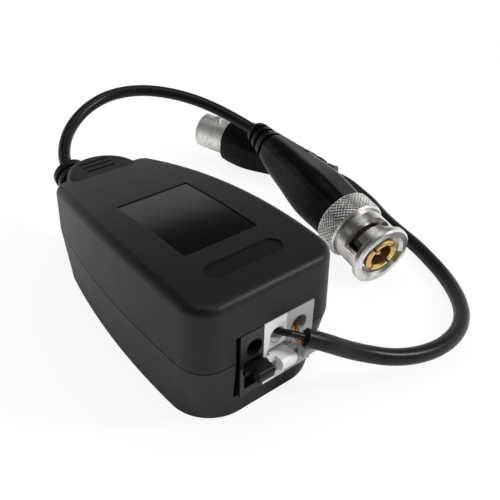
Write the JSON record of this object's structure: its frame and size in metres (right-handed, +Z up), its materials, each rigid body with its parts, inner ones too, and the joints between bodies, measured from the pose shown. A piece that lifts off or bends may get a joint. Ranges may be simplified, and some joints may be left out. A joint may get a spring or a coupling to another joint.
{
  "type": "video ground loop isolator",
  "caption": "In-line isolator for a video signal: a small black case with lever clamp terminals, a short lead with a bayonet plug and a second lead with a bayonet jack.",
  "frame": {"origin": "bottom centre of the case with its terminal levers, on the surface that it stands on", "axes": "+Z up, +Y from the terminals to the nose with the strain relief, +X to the right seen from the terminals"},
  "size_m": [0.0835, 0.1063, 0.0276],
  "materials": {
    "case_black": "fine satin texture",
    "screw_steel": "zinc plated",
    "cord_black": "smooth flexible vinyl",
    "board_green": "glass fibre laminate",
    "bobbin_plastic": "moulded",
    "ferrite": "sintered",
    "enamelled_wire": "enamelled copper wire",
    "ceramic": "glazed ceramic",
    "capacitor_case": "potted film capacitor",
    "terminal_black": "moulded",
    "terminal_white": "moulded",
    "terminal_grey": "moulded",
    "spring_steel": "stainless strip",
    "tinned_brass": "tinned",
    "boot_black": "moulded flexible vinyl",
    "nickel": "nickel plated",
    "gold": "gold plated",
    "insulator": "moulded",
    "gasket": "silicone",
    "core_black": "insulated core",
    "copper": "bare copper strands"
  },
  "bodies": {
    "isolator": {"upper_case": "case_black", "lower_case": "case_black", "case_screws": "screw_steel", "strain_relief": "cord_black", "circuit_board": "board_green", "transformer_base": "bobbin_plastic", "transformer_core": "ferrite", "winding_primary": "enamelled_wire", "winding_secondary": "enamelled_wire", "surge_arrester": "ceramic", "filter_capacitor": "capacitor_case", "inner_leads": "cord_black", "terminal_black": "terminal_black", "terminal_white": "terminal_white", "terminal_grey": "terminal_grey", "clamp_spring_black": "spring_steel", "clamp_spring_white": "spring_steel", "clamp_spring_grey": "spring_steel", "contact_strip_black": "tinned_brass", "contact_strip_white": "tinned_brass", "contact_strip_grey": "tinned_brass", "plug_cord": "cord_black", "plug_boot": "boot_black", "plug_body": "nickel", "plug_contact_sleeve": "gold", "plug_insulator": "insulator", "plug_pin": "gold", "plug_gasket": "gasket", "jack_cord": "cord_black", "jack_boot": "boot_black", "jack_barrel": "nickel", "jack_insulator": "insulator", "jack_contact": "gold", "core_wire": "core_black", "braid_tail": "copper"},
    "spring_washer": {"spring_washer": "spring_steel"},
    "coupling_nut": {"coupling_nut": "nickel"},
    "lever_black": {"lever_black": "terminal_black"},
    "lever_white": {"lever_white": "terminal_white"},
    "lever_grey": {"lever_grey": "terminal_grey"}
  },
  "joints": [
    {"name": "washer_slide", "type": "slide", "parent": "isolator", "child": "spring_washer", "axis": [-0.1292, -0.9774, -0.1672], "range_m": [0, 0.001], "stiffness_N_per_m": 1500},
    {"name": "nut_spin", "type": "hinge", "parent": "spring_washer", "child": "coupling_nut", "pos_m": [0.0423, -0.01823, 0.0074], "axis": [-0.1292, -0.9774, -0.1672], "continuous": true},
    {"name": "lever_black_press", "type": "hinge", "parent": "isolator", "child": "lever_black", "pos_m": [-0.00421, -0.0258, 0.0115], "axis": [1, 0, 0], "range_deg": [0, 14], "stiffness_Nm_per_rad": 0.02, "springref_deg": -5.73},
    {"name": "lever_white_press", "type": "hinge", "parent": "isolator", "child": "lever_white", "pos_m": [0.00087, -0.0258, 0.0115], "axis": [1, 0, 0], "range_deg": [0, 14], "stiffness_Nm_per_rad": 0.02, "springref_deg": -5.73},
    {"name": "lever_grey_press", "type": "hinge", "parent": "isolator", "child": "lever_grey", "pos_m": [0.00595, -0.0258, 0.0115], "axis": [1, 0, 0], "range_deg": [0, 14], "stiffness_Nm_per_rad": 0.02, "springref_deg": -5.73}
  ]
}
